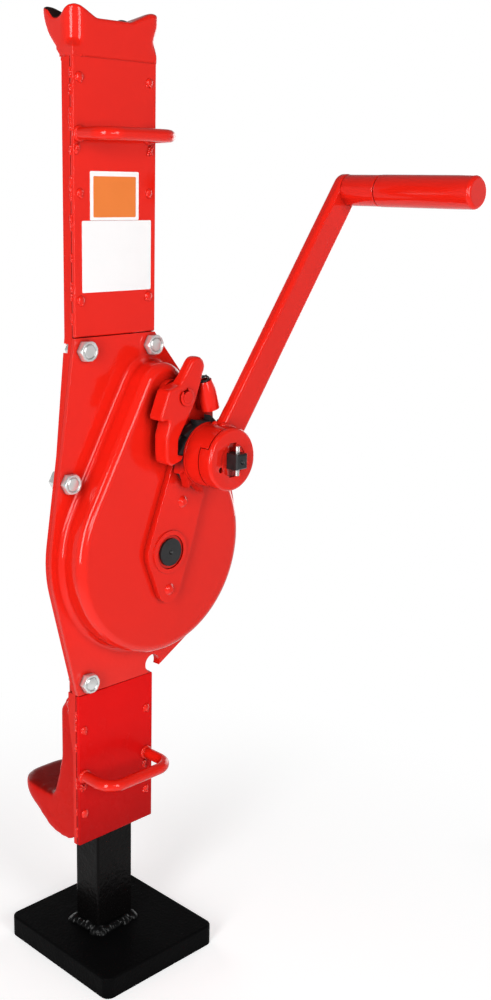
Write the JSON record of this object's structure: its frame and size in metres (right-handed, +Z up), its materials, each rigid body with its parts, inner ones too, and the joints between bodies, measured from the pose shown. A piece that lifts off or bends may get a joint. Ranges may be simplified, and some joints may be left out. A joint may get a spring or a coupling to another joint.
{
  "type": "rack and pinion jack",
  "caption": "Hand cranked steel rack jack: a red column with lifting claw and horned head climbs a black toothed rack on a foot plate.",
  "frame": {"origin": "bottom centre of the foot plate, on the floor", "axes": "+Z up along the rack, +Y to the back where the claw points, -Y to the front where the crank stands, +X to the right"},
  "size_m": [0.3038, 0.305, 0.824],
  "materials": {
    "black_paint": "satin black paint",
    "red_paint": "gloss red paint",
    "zinc_steel": "zinc plated",
    "bush_bronze": "turned bronze",
    "dark_steel": "blackened steel",
    "bright_steel": "machined steel",
    "brake_lining": "pressed friction lining"
  },
  "bodies": {
    "rack_foot": {"base_plate": "black_paint", "rack": "black_paint", "foot_weld": "black_paint"},
    "column": {"rack_channel": "red_paint", "left_side_plate": "red_paint", "right_side_plate": "red_paint", "upper_front_plate": "red_paint", "lower_front_plate": "red_paint", "plug_welds": "red_paint", "lower_handle": "red_paint", "upper_handle": "red_paint", "claw": "red_paint", "head": "red_paint", "gear_cover": "red_paint", "cover_bolts": "zinc_steel", "cover_nuts": "zinc_steel", "bearing_plate": "red_paint", "plate_rivets": "red_paint", "pinion_housing_shell": "red_paint", "gear_front_bush": "bush_bronze", "gear_rear_bush": "bush_bronze", "crank_front_bush": "bush_bronze", "crank_rear_bush": "bush_bronze", "pawl_pin": "red_paint", "pawl_clip": "red_paint", "spring_sleeve": "red_paint", "pawl_spring": "dark_steel"},
    "gear_shaft": {"rack_pinion_shaft": "dark_steel", "gear_key": "bright_steel", "drive_gear": "bright_steel"},
    "crank_shaft": {"crank_pinion_shaft": "dark_steel", "rear_friction_disc": "brake_lining", "end_cap": "red_paint", "cross_pin": "bright_steel"},
    "ratchet": {"ratchet_wheel": "red_paint"},
    "crank": {"crank_hub": "red_paint", "front_friction_disc": "brake_lining", "crank_arm": "red_paint", "grip_spindle": "red_paint", "grip_snap_ring": "bright_steel"},
    "grip": {"grip_sleeve": "red_paint"},
    "pawl": {"pawl": "red_paint"}
  },
  "joints": [
    {"name": "lift", "type": "slide", "parent": "rack_foot", "child": "column", "axis": [0, 0, 1], "range_m": [-0.08, 0.262]},
    {"name": "crank_turn", "type": "hinge", "parent": "column", "child": "crank_shaft", "pos_m": [0.05985, 0, 0.46929], "axis": [0, 1, 0], "range_deg": [-1921, 6291]},
    {"name": "gear_turn", "type": "hinge", "parent": "column", "child": "gear_shaft", "pos_m": [0.0305, 0, 0.385], "axis": [0, -1, 0], "range_deg": [-307, 1002]},
    {"name": "brake_play", "type": "hinge", "parent": "crank_shaft", "child": "crank", "pos_m": [0.05985, 0, 0.46929], "axis": [0, 1, 0], "range_deg": [0, 28]},
    {"name": "ratchet_turn", "type": "hinge", "parent": "column", "child": "ratchet", "pos_m": [0.05985, 0, 0.46929], "axis": [0, 1, 0], "range_deg": [0, 4]},
    {"name": "grip_turn", "type": "hinge", "parent": "crank", "child": "grip", "pos_m": [0.21626, 0, 0.68937], "axis": [0, 1, 0], "continuous": true},
    {"name": "pawl_turn", "type": "hinge", "parent": "column", "child": "pawl", "pos_m": [0.033, 0, 0.52149], "axis": [0, 1, 0], "range_deg": [0, 9], "stiffness_Nm_per_rad": 1, "springref_deg": -14.32, "deforming": ["pawl_spring"]}
  ],
  "couplings": [
    {"joint": "crank_turn", "follows": "lift", "rad_per_m": 419.05},
    {"joint": "gear_turn", "follows": "lift", "rad_per_m": 66.667}
  ]
}
